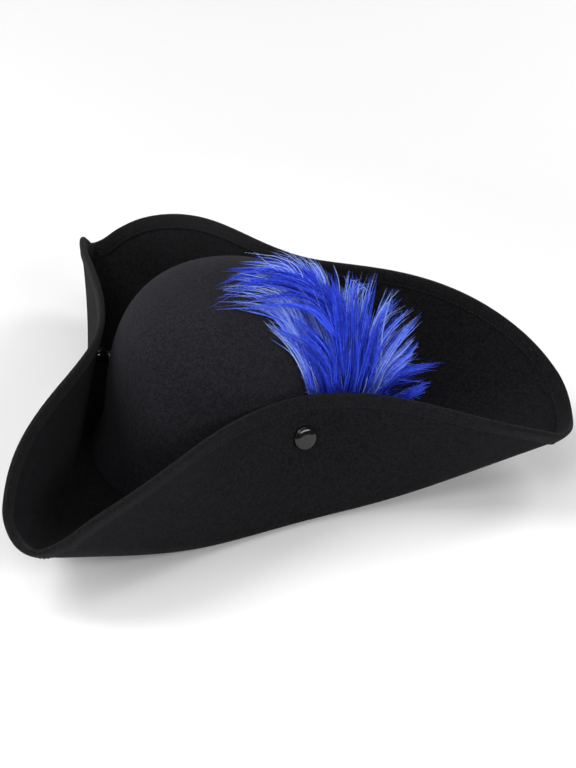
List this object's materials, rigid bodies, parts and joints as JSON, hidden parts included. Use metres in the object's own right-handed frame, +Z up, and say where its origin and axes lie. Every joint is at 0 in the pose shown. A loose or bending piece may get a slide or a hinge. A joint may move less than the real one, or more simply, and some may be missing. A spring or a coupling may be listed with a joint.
{
  "type": "tricorn hat",
  "caption": "Black felt tricorn hat with a domed crown, brim flaps turned up to corners and held by press studs, a tape-bound edge and a curling blue ostrich plume.",
  "frame": {"origin": "middle of the hat's bounding box, on the plane of the flat underside of the brim", "axes": "+Z up through the crown, -Y towards the front corner, +X towards the wearer's left"},
  "size_m": [0.4132, 0.38, 0.168],
  "materials": {
    "crown_felt": "matt brushed felt",
    "brim_felt": "matt brushed felt",
    "binding_tape": "woven tape",
    "snap_gloss": "glossy black",
    "plume_feather": "soft feather sheen"
  },
  "bodies": {
    "root": {"crown": "crown_felt", "brim": "brim_felt", "edge_binding": "binding_tape", "snap_left": "snap_gloss", "snap_rear": "snap_gloss", "snap_right": "snap_gloss", "plume": "plume_feather"}
  },
  "joints": []
}
